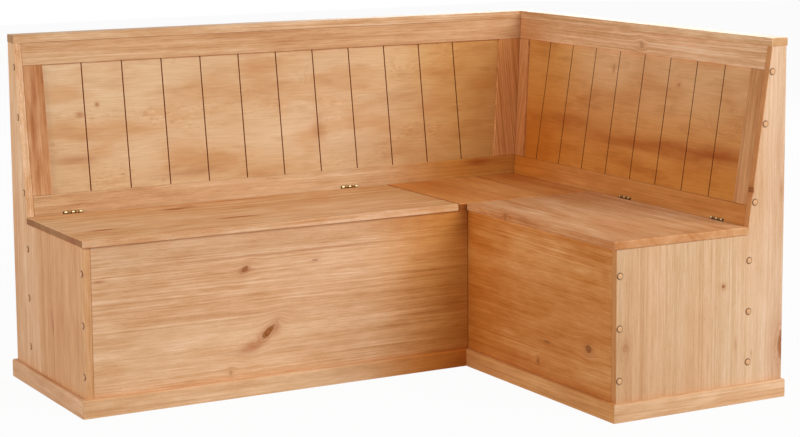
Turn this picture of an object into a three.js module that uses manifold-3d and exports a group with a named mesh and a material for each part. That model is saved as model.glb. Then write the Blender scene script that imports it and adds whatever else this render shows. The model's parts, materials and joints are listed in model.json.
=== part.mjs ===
// Corner storage bench in pine: two lidded chests set in an L, a fixed corner seat between them,
// and a raked frame-and-panel back along both arms under a mitred cap.
// Units are millimetres and +Z is up. The origin is on the floor, below the middle of the bench.

import * as THREE from 'three';
import { mergeVertices } from 'three/addons/utils/BufferGeometryUtils.js';
import Module from 'manifold-3d';

const wasm = await Module();
wasm.setup();

// Driving dimensions. Lengths along an arm are counted from the rear corner, where the planes behind
// the two arms meet, and depths are counted forward from the plane behind the arm.
const longLength = 1548;
const shortLength = 1162;
const totalHeight = 880;
const seatHeight = 428;
const seatDepth = 500;
const boardThickness = 19;
const lidThickness = 19;
const lidFrontOverhang = 8;
const lidEndOverhang = 3;

// Clearances and small finishing sizes
const fitGap = 0.3;
const edgeEase = 1.2;
const lidEase = 1.6;
const cutOverrun = 20;
const weldDistance = 0.001;

// Cap boards on top of the backs and the end panels
const capThickness = 20;
const capDepth = 45;
const capRearOverhang = 3;

// Raked backs
const backTopDepth = 44;
const backSeatDepth = 108.6;
const backThickness = 20;
const topRailHeight = 57;
const bottomRailRise = 50;
const endStileWidth = 52;
const longCornerStileWidth = 70;
const shortCornerStileWidth = 43;
const panelThickness = 9;
const panelRecess = 6;
const panelTongue = 8;
const endPlankWidth = 105.5;
const longPlankPitch = 109.8;
const shortPlankPitch = 111.8;
const narrowestPlank = 20;
const plankGrooveWidth = 4;
const plankGrooveDepth = 2.4;

// Plinth round the visible sides
const plinthHeight = 44;
const plinthProjection = 14;
const plinthEase = 3;

// Seams in the seat: the fixed corner seat between the two lids
const cornerSeatReach = 522;
const longLidSeam = 2.5;
const shortLidSeam = 2;
const lidRearGap = 0.4;
const lidRearLedge = 2.2;

// Bearers, bottoms, cleats and the block in the inner corner
const bearerThickness = 19;
const bearerHeight = 60;
const shortBearerHeight = 45;
const bottomThickness = 9;
const cleatSize = 22;
const cleatClearance = 22;
const cornerBlockSize = 30;
const cornerBlockShortfall = 25;

// Lid battens
const battenWidth = 44;
const battenThickness = 19;
const battenRearInset = 38;
const battenFrontInset = 24;
const battenPlaceShares = [0.2, 0.8];

// Plugs glued into the end panels, over the screws that hold the boards
const plugRadius = 7;
const plugDepth = 8;
const plugRoot = 1;
const plugProud = 0.8;
const plugDome = 1.6;
const plugDomeShares = [[1, 0], [0.78, 0.55], [0.42, 0.88], [0, 1]];
const plugSides = 16;
const boxScrewHeightShares = [0.235, 0.54, 0.846];
const backScrewHeightShares = [0.173, 0.589, 0.866];

// Countersunk screws that join the boards at the corner
const screwHeadRadius = 4.2;
const screwHeadDepth = 2.8;
const screwShankRadius = 2.2;
const screwTip = 5;
const screwBite = 25;
const screwSides = 12;
const cornerScrewHeightShares = [0.07, 0.5, 0.93];

// Dowels between caps and top rails
const dowelRadius = 4;
const dowelReach = 15;
const dowelSides = 10;
const dowelPlaceShares = [0.12, 0.38, 0.64, 0.9];

// Butt hinges
const hingeLength = 50;
const knuckleCount = 5;
const knuckleGap = 0.3;
const barrelRadius = 3;
const barrelSides = 20;
const pinRadius = 1.3;
const pinClearance = 0.1;
const leafThickness = 1.2;
const leafGap = 1.2;
const leafFootClearance = 3;
const leafHoleSpacing = 30;
const leafHoleRadius = 1.4;
const leafCountersinkRadius = 2.6;
const longHingeInsets = { nearCorner: 111, nearEnd: 124 };
const shortHingeInsets = { nearCorner: 149, nearEnd: 125 };

// Levels and depths worked out from the driving dimensions
const carcassTop = seatHeight - lidThickness;
const backTop = totalHeight - capThickness;
const rake = (backSeatDepth - backTopDepth) / (backTop - seatHeight);
const levelThickness = backThickness / Math.cos(Math.atan(rake));
const levelRecess = panelRecess / Math.cos(Math.atan(rake));
const levelPanel = panelThickness / Math.cos(Math.atan(rake));
const bottomRailTop = seatHeight + bottomRailRise;
const topRailBottom = backTop - topRailHeight;
const frontFace = seatDepth - lidFrontOverhang;
const frontInner = frontFace - boardThickness;
const lidRear = faceDepth(carcassTop) + lidRearGap;
const rearBoardFront = lidRear + lidRearLedge;
const rearBoardBack = rearBoardFront - boardThickness;
const cleatTop = cleatClearance + cleatSize;
const bottomPanelTop = cleatTop + fitGap + bottomThickness;
const pinHeight = seatHeight + fitGap + barrelRadius;
const pinDepth = lidRear - fitGap - leafThickness - leafGap / 2;
const mitreShift = fitGap / Math.SQRT2;

// Depth of the raked face of a back at height z
function faceDepth(z) {
  return backSeatDepth + rake * (seatHeight - z);
}

// An arm's own space has its length along X, its depth along Y and its height along Z.
// The long arm runs to -X and the short arm to -Y of the rear corner.
const longArm = {
  name: 'long',
  length: longLength,
  matrix: new THREE.Matrix4().set(-1, 0, 0, 0, 0, -1, 0, 0, 0, 0, 1, 0, 0, 0, 0, 1),
  cornerStart: fitGap,
  cornerStileWidth: longCornerStileWidth,
  plankPitch: longPlankPitch,
  lidStart: cornerSeatReach + longLidSeam,
  hingeInsets: longHingeInsets,
};
const shortArm = {
  name: 'short',
  length: shortLength,
  matrix: new THREE.Matrix4().set(0, -1, 0, 0, -1, 0, 0, 0, 0, 0, 1, 0, 0, 0, 0, 1),
  cornerStart: -levelThickness,
  cornerStileWidth: shortCornerStileWidth,
  plankPitch: shortPlankPitch,
  lidStart: seatDepth + shortLidSeam,
  hingeInsets: shortHingeInsets,
};

// Leans a back from upright to its rake: depth is then counted from the raked face
const leanBack = new THREE.Matrix4().set(
  1, 0, 0, 0,
  0, 1, -rake, backSeatDepth + rake * seatHeight,
  0, 0, 1, 0,
  0, 0, 0, 1,
);

// Board faces: outline drawn as (depth, height), (length, height) or (length, depth)
const acrossArm = new THREE.Matrix4().set(0, 0, 1, 0, 1, 0, 0, 0, 0, 1, 0, 0, 0, 0, 0, 1);
const alongArm = new THREE.Matrix4().set(1, 0, 0, 0, 0, 0, 1, 0, 0, 1, 0, 0, 0, 0, 0, 1);

// Materials
const pine = (color) => new THREE.MeshStandardMaterial({ color, roughness: 0.5, metalness: 0 });
const endPine = pine(0xdcae7c);
const frontPine = pine(0xd4a06a);
const seatPine = pine(0xd2a070);
const framePine = pine(0xc08850);
const panelPly = pine(0xcb9a64);
const innerPine = pine(0xdfbd92);
const brass = new THREE.MeshStandardMaterial({ color: 0xc9a24e, roughness: 0.35, metalness: 1 });
const steel = new THREE.MeshStandardMaterial({ color: 0x9fa1a3, roughness: 0.4, metalness: 1 });

// Geometry helpers

function turnedOutward(geometry) {
  const place = geometry.attributes.position;
  const index = geometry.index.array;
  const [a, b, c] = [new THREE.Vector3(), new THREE.Vector3(), new THREE.Vector3()];
  let volume = 0;
  for (let i = 0; i < index.length; i += 3) {
    a.fromBufferAttribute(place, index[i]);
    b.fromBufferAttribute(place, index[i + 1]);
    c.fromBufferAttribute(place, index[i + 2]);
    volume += a.dot(b.cross(c));
  }
  if (volume < 0) {
    for (let i = 0; i < index.length; i += 3) {
      [index[i], index[i + 1]] = [index[i + 1], index[i]];
    }
  }
  return geometry;
}

function solidFrom(geometry, ...matrices) {
  const bare = geometry.clone();
  bare.deleteAttribute('normal');
  bare.deleteAttribute('uv');
  const merged = mergeVertices(bare, weldDistance);
  for (const matrix of matrices) {
    merged.applyMatrix4(matrix);
  }
  const corners = merged.index.array;
  const kept = [];
  for (let i = 0; i < corners.length; i += 3) {
    const [a, b, c] = [corners[i], corners[i + 1], corners[i + 2]];
    if (a !== b && b !== c && c !== a) {
      kept.push(a, b, c);
    }
  }
  merged.setIndex(kept);
  turnedOutward(merged);
  return new wasm.Manifold(new wasm.Mesh({
    numProp: 3,
    vertProperties: new Float32Array(merged.attributes.position.array),
    triVerts: new Uint32Array(merged.index.array),
  }));
}

function geometryFrom(solid, ...matrices) {
  const cut = solid.getMesh();
  const geometry = new THREE.BufferGeometry();
  geometry.setAttribute('position', new THREE.BufferAttribute(new Float32Array(cut.vertProperties), 3));
  geometry.setIndex(new THREE.BufferAttribute(new Uint32Array(cut.triVerts), 1));
  for (const matrix of matrices) {
    geometry.applyMatrix4(matrix);
  }
  turnedOutward(geometry);
  geometry.computeVertexNormals();
  return geometry;
}

function block(low, high) {
  const size = new THREE.Vector3().subVectors(high, low);
  const middle = new THREE.Vector3().addVectors(low, high).multiplyScalar(0.5);
  return new THREE.BoxGeometry(size.x, size.y, size.z).translate(middle.x, middle.y, middle.z);
}

const at = (x, y, z) => new THREE.Vector3(x, y, z);
const outline = (...points) => new THREE.Shape(points.map(([x, y]) => new THREE.Vector2(x, y)));

// A board with eased edges. Its outline lies in its large faces, and it starts at zero thickness.
function easedBoard(shape, thickness, ease = edgeEase) {
  return new THREE.ExtrudeGeometry(shape, {
    depth: thickness - 2 * ease,
    bevelEnabled: true,
    bevelThickness: ease,
    bevelSize: ease,
    bevelOffset: -ease,
    bevelSegments: 1,
  }).translate(0, 0, ease);
}

function prism(shape, depth) {
  return new THREE.ExtrudeGeometry(shape, { depth, bevelEnabled: false });
}

const rectangle = (x0, x1, y0, y1) => outline([x0, y0], [x1, y0], [x1, y1], [x0, y1]);
const shifted = (x, y, z) => new THREE.Matrix4().makeTranslation(x, y, z);

// An upright board whose large faces look forward and backward
function uprightBoard(start, end, rear, front, low, high) {
  const board = easedBoard(rectangle(start, end, low, high), front - rear);
  return solidFrom(board, alongArm, shifted(0, rear, 0));
}

// Places a shape made along +Y so that it points from a place in a direction
function pointing(place, direction) {
  const turn = new THREE.Quaternion().setFromUnitVectors(at(0, 1, 0), direction);
  return new THREE.Matrix4().compose(place, turn, at(1, 1, 1));
}

// A countersunk screw, or its hole when it is grown
function screwSolid({ length, place, heading }, grow = 0) {
  const profile = [
    [0, -grow],
    [screwHeadRadius + grow, -grow],
    [screwShankRadius + grow, screwHeadDepth],
    [screwShankRadius + grow, length - screwTip],
    [0, length + grow],
  ].map(([radius, y]) => new THREE.Vector2(radius, y));
  return solidFrom(new THREE.LatheGeometry(profile, screwSides), pointing(place, heading));
}

function cylinderSolid(radius, start, end, sides) {
  const axis = new THREE.Vector3().subVectors(end, start);
  const length = axis.length();
  const rod = new THREE.CylinderGeometry(radius, radius, length, sides).translate(0, length / 2, 0);
  return solidFrom(rod, pointing(start, axis.normalize()));
}

const joined = (solids) => solids.reduce((whole, piece) => whole.add(piece));
const without = (solid, cutters) => cutters.reduce((rest, cutter) => rest.subtract(cutter), solid);

// Scene: the carcass, and a group for each lid whose origin lies on its hinge line

const bench = new THREE.Group();
const carcass = new THREE.Group();
bench.add(carcass);
bench.position.set(
  (longLength + plinthProjection - capRearOverhang) / 2,
  (shortLength + plinthProjection - capRearOverhang) / 2,
  0,
);

for (const arm of [longArm, shortArm]) {
  arm.inner = arm.length - boardThickness;
  arm.lidEnd = arm.length + lidEndOverhang;
  arm.hinges = [arm.lidStart + arm.hingeInsets.nearCorner, arm.lidEnd - arm.hingeInsets.nearEnd];
  arm.lidGroup = new THREE.Group();
  arm.lidGroup.position.copy(at(0, pinDepth, pinHeight).applyMatrix4(arm.matrix));
  bench.add(arm.lidGroup);
}

function addPiece(group, arm, name, solid, material) {
  const home = shifted(-group.position.x, -group.position.y, -group.position.z);
  const mesh = new THREE.Mesh(geometryFrom(solid, arm.matrix, home), material);
  mesh.name = name;
  group.add(mesh);
}

// Heights of the fixings in the chests and in the backs

const inBox = (shares) => shares.map((share) => share * carcassTop);
const inBack = (shares) => shares.map((share) => carcassTop + share * (backTop - carcassTop));

// A plug sits over each board that ends at an end panel, in the middle of its thickness
function plugSpots(arm) {
  const seat = arm.length - plugDepth;
  return [
    ...inBox(boxScrewHeightShares).map((z) => at(seat, frontFace - boardThickness / 2, z)),
    ...inBox(boxScrewHeightShares).map((z) => at(seat, rearBoardFront - boardThickness / 2, z)),
    ...inBack(backScrewHeightShares).map((z) => at(seat, faceDepth(z) - levelThickness / 2, z)),
  ];
}

// Screws join the boards at the corner. Each is placed in the space of the arm named in home,
// and across() gives the same screws in the other arm's space.
const cornerScrews = {
  back_corner: {
    home: shortArm,
    screws: inBack(cornerScrewHeightShares).map((z) => ({
      length: levelThickness + screwBite,
      place: at(faceDepth(z) - levelThickness / 2, faceDepth(z) - levelThickness, z),
      heading: at(0, 1, 0),
    })),
  },
  rear_board: {
    home: longArm,
    screws: inBox(boxScrewHeightShares).map((z) => ({
      length: boardThickness + screwBite,
      place: at(rearBoardFront - boardThickness / 2, rearBoardBack, z),
      heading: at(0, 1, 0),
    })),
  },
  divider: {
    home: shortArm,
    screws: inBox(boxScrewHeightShares).map((z) => ({
      length: boardThickness + screwBite,
      place: at(frontFace - boardThickness / 2, rearBoardBack, z),
      heading: at(0, 1, 0),
    })),
  },
};

const across = (screw) => ({
  length: screw.length,
  place: at(screw.place.y, screw.place.x, screw.place.z),
  heading: at(screw.heading.y, screw.heading.x, screw.heading.z),
});

function screwHoles(arm, ...kinds) {
  return kinds.flatMap((kind) => {
    const { home, screws } = cornerScrews[kind];
    return (home === arm ? screws : screws.map(across)).map((screw) => screwSolid(screw, fitGap));
  });
}

// Dowels stand upright in the middle of the top rail
function capDowels(arm, grow) {
  const depth = faceDepth(backTop) - levelThickness / 2;
  return dowelPlaceShares.map((share) => cylinderSolid(
    dowelRadius + grow,
    at(share * arm.length, depth, backTop - dowelReach - grow),
    at(share * arm.length, depth, backTop + dowelReach + grow),
    dowelSides,
  ));
}

// End panels: one board to full height, cut back to the chest's depth below the seat

function endPanel(arm) {
  const shape = outline(
    [0, 0],
    [frontFace, 0],
    [frontFace, carcassTop],
    [faceDepth(carcassTop), carcassTop],
    [backTopDepth, backTop - fitGap],
    [0, backTop - fitGap],
  );
  const board = solidFrom(easedBoard(shape, boardThickness), acrossArm, shifted(arm.inner, 0, 0));
  const counterbores = plugSpots(arm).map((spot) => cylinderSolid(
    plugRadius + fitGap,
    spot,
    at(arm.length + cutOverrun, spot.y, spot.z),
    plugSides,
  ));
  return joined([without(board, counterbores), ...plugs(arm)]);
}

// A plug is glued to the floor of its counterbore and stands a little proud, with a domed face
function plugs(arm) {
  const profile = [
    new THREE.Vector2(0, -plugRoot),
    new THREE.Vector2(plugRadius, -plugRoot),
    ...plugDomeShares.map(([width, rise]) => new THREE.Vector2(
      width * plugRadius,
      plugDepth + plugProud + rise * plugDome,
    )),
  ];
  const plug = new THREE.LatheGeometry(profile, plugSides);
  return plugSpots(arm).map((spot) => solidFrom(plug, pointing(spot, at(1, 0, 0))));
}

// Chest boards

const longFrontBoard = without(
  uprightBoard(rearBoardFront + fitGap, longArm.inner - fitGap, frontInner, frontFace, 0, carcassTop),
  screwHoles(longArm, 'divider'),
);
const shortFrontBoard = uprightBoard(
  frontFace + fitGap, shortArm.inner - fitGap, frontInner, frontFace, 0, carcassTop,
);
const longRearBoard = without(
  uprightBoard(rearBoardBack, longArm.inner - fitGap, rearBoardBack, rearBoardFront, 0, carcassTop),
  screwHoles(longArm, 'rear_board'),
);
const shortRearBoard = without(
  uprightBoard(rearBoardFront + fitGap, shortArm.inner - fitGap, rearBoardBack, rearBoardFront, 0, carcassTop),
  screwHoles(shortArm, 'rear_board', 'divider'),
);

// Bottoms on cleats, one pair of cleats to each chest

function bottomPieces(arm, start) {
  const end = arm.inner - fitGap;
  const rear = rearBoardFront + fitGap;
  const front = frontInner - fitGap;
  return {
    panel: solidFrom(block(at(start, rear, cleatTop + fitGap), at(end, front, bottomPanelTop))),
    rearCleat: solidFrom(block(at(start, rear, cleatClearance), at(end, rear + cleatSize, cleatTop))),
    frontCleat: solidFrom(block(at(start, front - cleatSize, cleatClearance), at(end, front, cleatTop))),
  };
}

// Plinth boards: a profile with an eased top edge, run along its side and mitred at its ends

function plinthProfile(inside) {
  const outside = inside + plinthProjection;
  return outline(
    [inside + fitGap, 0],
    [outside, 0],
    [outside, plinthHeight - plinthEase],
    [outside - plinthEase, plinthHeight],
    [inside + fitGap, plinthHeight],
  );
}

function mitreCutter(...points) {
  const height = plinthHeight + 2 * cutOverrun;
  return solidFrom(prism(outline(...points), height), shifted(0, 0, -cutOverrun));
}

function frontPlinth(arm) {
  const start = frontFace - cutOverrun;
  const end = arm.length + plinthProjection + cutOverrun;
  const run = solidFrom(prism(plinthProfile(frontFace), end - start), acrossArm, shifted(start, 0, 0));
  const wide = plinthProjection + 2 * cutOverrun;
  const stop = arm.length - cutOverrun;
  return without(run, [
    mitreCutter(
      [start + mitreShift, start],
      [start + wide + mitreShift, start + wide],
      [start - wide, start + wide],
      [start - wide, start],
    ),
    mitreCutter(
      [stop - mitreShift, start],
      [arm.length + 2 * wide, start],
      [arm.length + 2 * wide, start + wide],
      [stop + wide - mitreShift, start + wide],
    ),
  ]);
}

function endPlinth(arm) {
  const length = frontFace + plinthProjection + cutOverrun;
  const run = solidFrom(prism(plinthProfile(arm.length), length), alongArm);
  const wide = plinthProjection + 2 * cutOverrun;
  return without(run, [mitreCutter(
    [arm.length - cutOverrun, frontFace - cutOverrun - mitreShift],
    [arm.length - cutOverrun + wide, frontFace - cutOverrun + wide - mitreShift],
    [arm.length - cutOverrun + wide, frontFace + 2 * wide],
    [arm.length - cutOverrun, frontFace + 2 * wide],
  )]);
}

// Backs: rails run the full length, stiles stand between them, and the panel sits in grooves

function cornerLine(offset) {
  return (z) => faceDepth(z) + offset;
}

function leanedBoard(start, end, low, high, rear = -levelThickness, front = 0, ease = edgeEase) {
  const shape = outline([start(low), low], [end(low), low], [end(high), high], [start(high), high]);
  const board = ease > 0 ? easedBoard(shape, front - rear, ease) : prism(shape, front - rear);
  return solidFrom(board, alongArm, shifted(0, rear, 0), leanBack);
}

function backPanel(arm, grow = 0) {
  const reach = panelTongue + grow;
  return leanedBoard(
    cornerLine(arm.cornerStileWidth - reach),
    () => arm.inner - endStileWidth + reach,
    bottomRailTop - reach,
    topRailBottom + reach,
    -levelRecess - levelPanel - grow,
    -levelRecess + grow,
    0,
  );
}

function plankGrooves(arm) {
  const low = bottomRailTop - panelTongue - cutOverrun;
  const high = topRailBottom + panelTongue + cutOverrun;
  const stop = faceDepth(bottomRailTop) + arm.cornerStileWidth + narrowestPlank;
  const grooves = [];
  for (let s = arm.inner - endStileWidth - endPlankWidth; s > stop; s -= arm.plankPitch) {
    const shape = outline(
      [s - plankGrooveWidth, -levelRecess + plankGrooveDepth],
      [s, -levelRecess - plankGrooveDepth],
      [s + plankGrooveWidth, -levelRecess + plankGrooveDepth],
    );
    grooves.push(solidFrom(prism(shape, high - low), shifted(0, 0, low), leanBack));
  }
  return grooves;
}

function hingeMortise(centre) {
  const half = hingeLength / 2 + fitGap;
  const leafBack = pinDepth - leafGap / 2 - leafThickness - fitGap;
  const barrelBottom = pinHeight - barrelRadius - fitGap;
  return [
    solidFrom(block(
      at(centre - half, leafBack, carcassTop + leafFootClearance - fitGap),
      at(centre + half, pinDepth + cutOverrun, barrelBottom),
    )),
    solidFrom(block(
      at(centre - half, pinDepth - barrelRadius - fitGap, barrelBottom - fitGap),
      at(centre + half, pinDepth + cutOverrun, pinHeight + barrelRadius + fitGap),
    )),
  ];
}

function backPieces(arm) {
  const corner = cornerLine(arm.cornerStart);
  const end = () => arm.inner - fitGap;
  const housing = backPanel(arm, fitGap);
  const screws = screwHoles(arm, 'back_corner');
  const mortises = arm.hinges.flatMap(hingeMortise);
  const stileLow = bottomRailTop + fitGap;
  const stileHigh = topRailBottom - fitGap;
  return {
    top_rail: without(
      leanedBoard(corner, end, topRailBottom, backTop - fitGap),
      [housing, ...screws, ...capDowels(arm, fitGap)],
    ),
    bottom_rail: without(
      leanedBoard(corner, end, carcassTop + fitGap, bottomRailTop),
      [housing, ...screws, ...mortises],
    ),
    end_stile: without(
      leanedBoard(() => arm.inner - endStileWidth, end, stileLow, stileHigh),
      [housing],
    ),
    corner_stile: without(
      leanedBoard(corner, cornerLine(arm.cornerStileWidth), stileLow, stileHigh),
      [housing, ...screws],
    ),
    panel: without(backPanel(arm), plankGrooves(arm)),
  };
}

// Caps: a board with eased edges, mitred at the rear corner, with dowels glued in from below

function cap(arm) {
  const shape = rectangle(-capRearOverhang, capDepth, backTop, totalHeight);
  const start = -capRearOverhang - cutOverrun;
  const run = solidFrom(easedBoard(shape, arm.length - start), acrossArm, shifted(start, 0, 0));
  const low = -capRearOverhang - cutOverrun;
  const high = capDepth + cutOverrun;
  const mitre = solidFrom(
    prism(
      outline([low + mitreShift, low], [high + mitreShift, high], [low - high, high], [low - high, low]),
      capThickness + 2 * cutOverrun,
    ),
    shifted(0, 0, backTop - cutOverrun),
  );
  return joined([without(run, [mitre]), ...capDowels(arm, 0)]);
}

// Hinges: side -1 is the leaf let into the rail, side +1 the leaf on the lid's rear edge

function leafHoles(centre, side) {
  const near = pinDepth + side * leafGap / 2;
  const height = (carcassTop + leafFootClearance + seatHeight) / 2;
  const profile = [
    [0, -leafThickness],
    [leafCountersinkRadius + leafThickness, -leafThickness],
    [leafHoleRadius, leafCountersinkRadius - leafHoleRadius],
    [leafHoleRadius, 2 * leafThickness],
    [0, 2 * leafThickness],
  ].map(([radius, y]) => new THREE.Vector2(radius, y));
  return [-1, 1].map((hand) => solidFrom(
    new THREE.LatheGeometry(profile, screwSides),
    pointing(at(centre + hand * leafHoleSpacing / 2, near, height), at(0, side, 0)),
  ));
}

function hingeLeaf(centre, side) {
  const start = centre - hingeLength / 2;
  const pitch = hingeLength / knuckleCount;
  const faces = [pinDepth + side * leafGap / 2, pinDepth + side * (leafGap / 2 + leafThickness)];
  const [rear, front] = [Math.min(...faces), Math.max(...faces)];
  const plateTop = pinHeight - barrelRadius - fitGap;
  const pieces = [solidFrom(block(
    at(start, rear, carcassTop + leafFootClearance),
    at(start + hingeLength, front, plateTop),
  ))];
  for (let i = side < 0 ? 0 : 1; i < knuckleCount; i += 2) {
    const from = start + i * pitch + (i > 0 ? knuckleGap / 2 : 0);
    const to = start + (i + 1) * pitch - (i < knuckleCount - 1 ? knuckleGap / 2 : 0);
    pieces.push(cylinderSolid(barrelRadius, at(from, pinDepth, pinHeight), at(to, pinDepth, pinHeight), barrelSides));
    pieces.push(solidFrom(block(at(from, rear, plateTop - leafThickness), at(to, front, pinHeight))));
  }
  const bore = cylinderSolid(
    (pinRadius + pinClearance) / Math.cos(Math.PI / barrelSides),
    at(start - cutOverrun, pinDepth, pinHeight),
    at(start + hingeLength + cutOverrun, pinDepth, pinHeight),
    barrelSides,
  );
  return without(joined(pieces), [bore, ...leafHoles(centre, side)]);
}

const hingePin = (centre) => cylinderSolid(
  pinRadius,
  at(centre - hingeLength / 2, pinDepth, pinHeight),
  at(centre + hingeLength / 2, pinDepth, pinHeight),
  barrelSides,
);

// Seat boards lie on the chests: two lids and the fixed corner seat

function seatBoard(start, end, rear, front) {
  const low = carcassTop + fitGap;
  return solidFrom(
    easedBoard(rectangle(start, end, rear, front), seatHeight - low, lidEase),
    shifted(0, 0, low),
  );
}

const battenPlaces = (arm) => battenPlaceShares.map((share) => arm.lidStart + share * (arm.inner - arm.lidStart));
const battenRear = rearBoardFront + battenRearInset;
const battenFront = frontInner - battenFrontInset;

const batten = (place) => solidFrom(
  easedBoard(
    rectangle(place - battenWidth / 2, place + battenWidth / 2, battenRear, battenFront),
    battenThickness,
    lidEase,
  ),
  shifted(0, 0, carcassTop - battenThickness),
);

// Assembly

const endNames = new Map([[longArm, 'left'], [shortArm, 'right']]);
const sideNames = new Map([[longArm, ['right', 'left']], [shortArm, ['rear', 'near']]]);
const heightNames = ['low', 'middle', 'high'];

addPiece(carcass, longArm, 'long_front_board', longFrontBoard, frontPine);
addPiece(carcass, shortArm, 'short_front_board', shortFrontBoard, frontPine);
addPiece(carcass, longArm, 'long_rear_board', longRearBoard, innerPine);
addPiece(carcass, shortArm, 'short_rear_board', shortRearBoard, innerPine);

const bottomStarts = new Map([[longArm, rearBoardFront + fitGap], [shortArm, frontFace + fitGap]]);

for (const arm of [longArm, shortArm]) {
  const end = endNames.get(arm);
  addPiece(carcass, arm, `${end}_end_panel`, endPanel(arm), endPine);
  addPiece(carcass, arm, `${end}_end_plinth`, endPlinth(arm), endPine);
  addPiece(carcass, arm, `${arm.name}_front_plinth`, frontPlinth(arm), frontPine);
  addPiece(carcass, arm, `${arm.name}_cap`, cap(arm), framePine);

  const bottom = bottomPieces(arm, bottomStarts.get(arm));
  addPiece(carcass, arm, `${arm.name}_bottom_panel`, bottom.panel, innerPine);
  addPiece(carcass, arm, `${arm.name}_rear_cleat`, bottom.rearCleat, innerPine);
  addPiece(carcass, arm, `${arm.name}_front_cleat`, bottom.frontCleat, innerPine);

  for (const [piece, solid] of Object.entries(backPieces(arm))) {
    addPiece(carcass, arm, `${arm.name}_back_${piece}`, solid, piece === 'panel' ? panelPly : framePine);
  }

  arm.hinges.forEach((centre, i) => {
    const name = `${arm.name}_${sideNames.get(arm)[i]}_hinge`;
    addPiece(carcass, arm, `${name}_fixed_leaf`, hingeLeaf(centre, -1), brass);
    addPiece(arm.lidGroup, arm, `${name}_lid_leaf`, hingeLeaf(centre, 1), brass);
    addPiece(carcass, arm, `${name}_pin`, hingePin(centre), brass);
  });

  addPiece(
    arm.lidGroup,
    arm,
    `${arm.name}_lid`,
    seatBoard(arm.lidStart, arm.lidEnd, lidRear, seatDepth),
    seatPine,
  );
  battenPlaces(arm).forEach((place, i) => {
    addPiece(
      arm.lidGroup,
      arm,
      `${arm.name}_lid_${sideNames.get(arm)[i]}_batten`,
      batten(place),
      innerPine,
    );
  });
}

for (const [kind, { home, screws }] of Object.entries(cornerScrews)) {
  screws.forEach((screw, i) => {
    addPiece(carcass, home, `${kind}_screw_${heightNames[i]}`, screwSolid(screw), steel);
  });
}

addPiece(
  carcass,
  longArm,
  'corner_seat',
  seatBoard(lidRear, cornerSeatReach, lidRear, seatDepth),
  seatPine,
);

// The bearer is set under the seam, half below the corner seat and half below the long lid
const bearerMiddle = cornerSeatReach + longLidSeam / 2;
addPiece(
  carcass,
  longArm,
  'corner_seat_bearer',
  solidFrom(block(
    at(bearerMiddle - bearerThickness / 2, rearBoardFront + fitGap, carcassTop - bearerHeight),
    at(bearerMiddle + bearerThickness / 2, frontInner - fitGap, carcassTop),
  )),
  innerPine,
);
addPiece(
  carcass,
  shortArm,
  'short_lid_bearer',
  solidFrom(block(
    at(frontFace + fitGap, rearBoardFront + fitGap, carcassTop - shortBearerHeight),
    at(frontFace + fitGap + bearerThickness, frontInner - fitGap, carcassTop),
  )),
  innerPine,
);
addPiece(
  carcass,
  shortArm,
  'inner_corner_block',
  solidFrom(block(
    at(frontFace + fitGap, frontInner - fitGap - cornerBlockSize, bottomPanelTop + fitGap),
    at(
      frontFace + fitGap + cornerBlockSize,
      frontInner - fitGap,
      carcassTop - shortBearerHeight - cornerBlockShortfall,
    ),
  )),
  innerPine,
);

export default bench;
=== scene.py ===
"""Corner storage bench in waxed pine: the finish of every piece, the floor and the light."""

import json
import math

import bmesh
import bpy
from mathutils import Euler, Matrix, Vector

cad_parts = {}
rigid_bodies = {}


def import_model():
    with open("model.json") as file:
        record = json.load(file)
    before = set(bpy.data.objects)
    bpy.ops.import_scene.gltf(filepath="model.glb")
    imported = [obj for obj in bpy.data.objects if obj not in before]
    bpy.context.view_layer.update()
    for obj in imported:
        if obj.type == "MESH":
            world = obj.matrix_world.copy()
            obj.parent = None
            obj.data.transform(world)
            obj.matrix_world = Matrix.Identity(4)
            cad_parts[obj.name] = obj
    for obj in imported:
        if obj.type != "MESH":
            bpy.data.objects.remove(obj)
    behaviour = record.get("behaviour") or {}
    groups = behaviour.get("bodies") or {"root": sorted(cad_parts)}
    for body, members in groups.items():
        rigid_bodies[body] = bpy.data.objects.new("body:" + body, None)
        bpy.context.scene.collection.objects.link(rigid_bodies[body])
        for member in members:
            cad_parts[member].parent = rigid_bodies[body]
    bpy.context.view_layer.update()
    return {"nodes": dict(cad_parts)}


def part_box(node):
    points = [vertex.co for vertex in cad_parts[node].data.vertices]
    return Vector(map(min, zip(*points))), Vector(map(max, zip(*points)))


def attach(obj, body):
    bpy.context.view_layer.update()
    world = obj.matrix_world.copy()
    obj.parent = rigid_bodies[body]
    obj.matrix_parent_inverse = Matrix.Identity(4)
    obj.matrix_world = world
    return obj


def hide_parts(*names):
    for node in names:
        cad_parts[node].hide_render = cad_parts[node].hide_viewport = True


for leftover in list(bpy.data.objects):
    bpy.data.objects.remove(leftover)

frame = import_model()


# Ends
# Each end is one wide board, glued up from upright pine staves and sawn to the slope of the back.
# Sanded, oiled to a pale honey and waxed, it has soft corners and a satin sheen.


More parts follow.
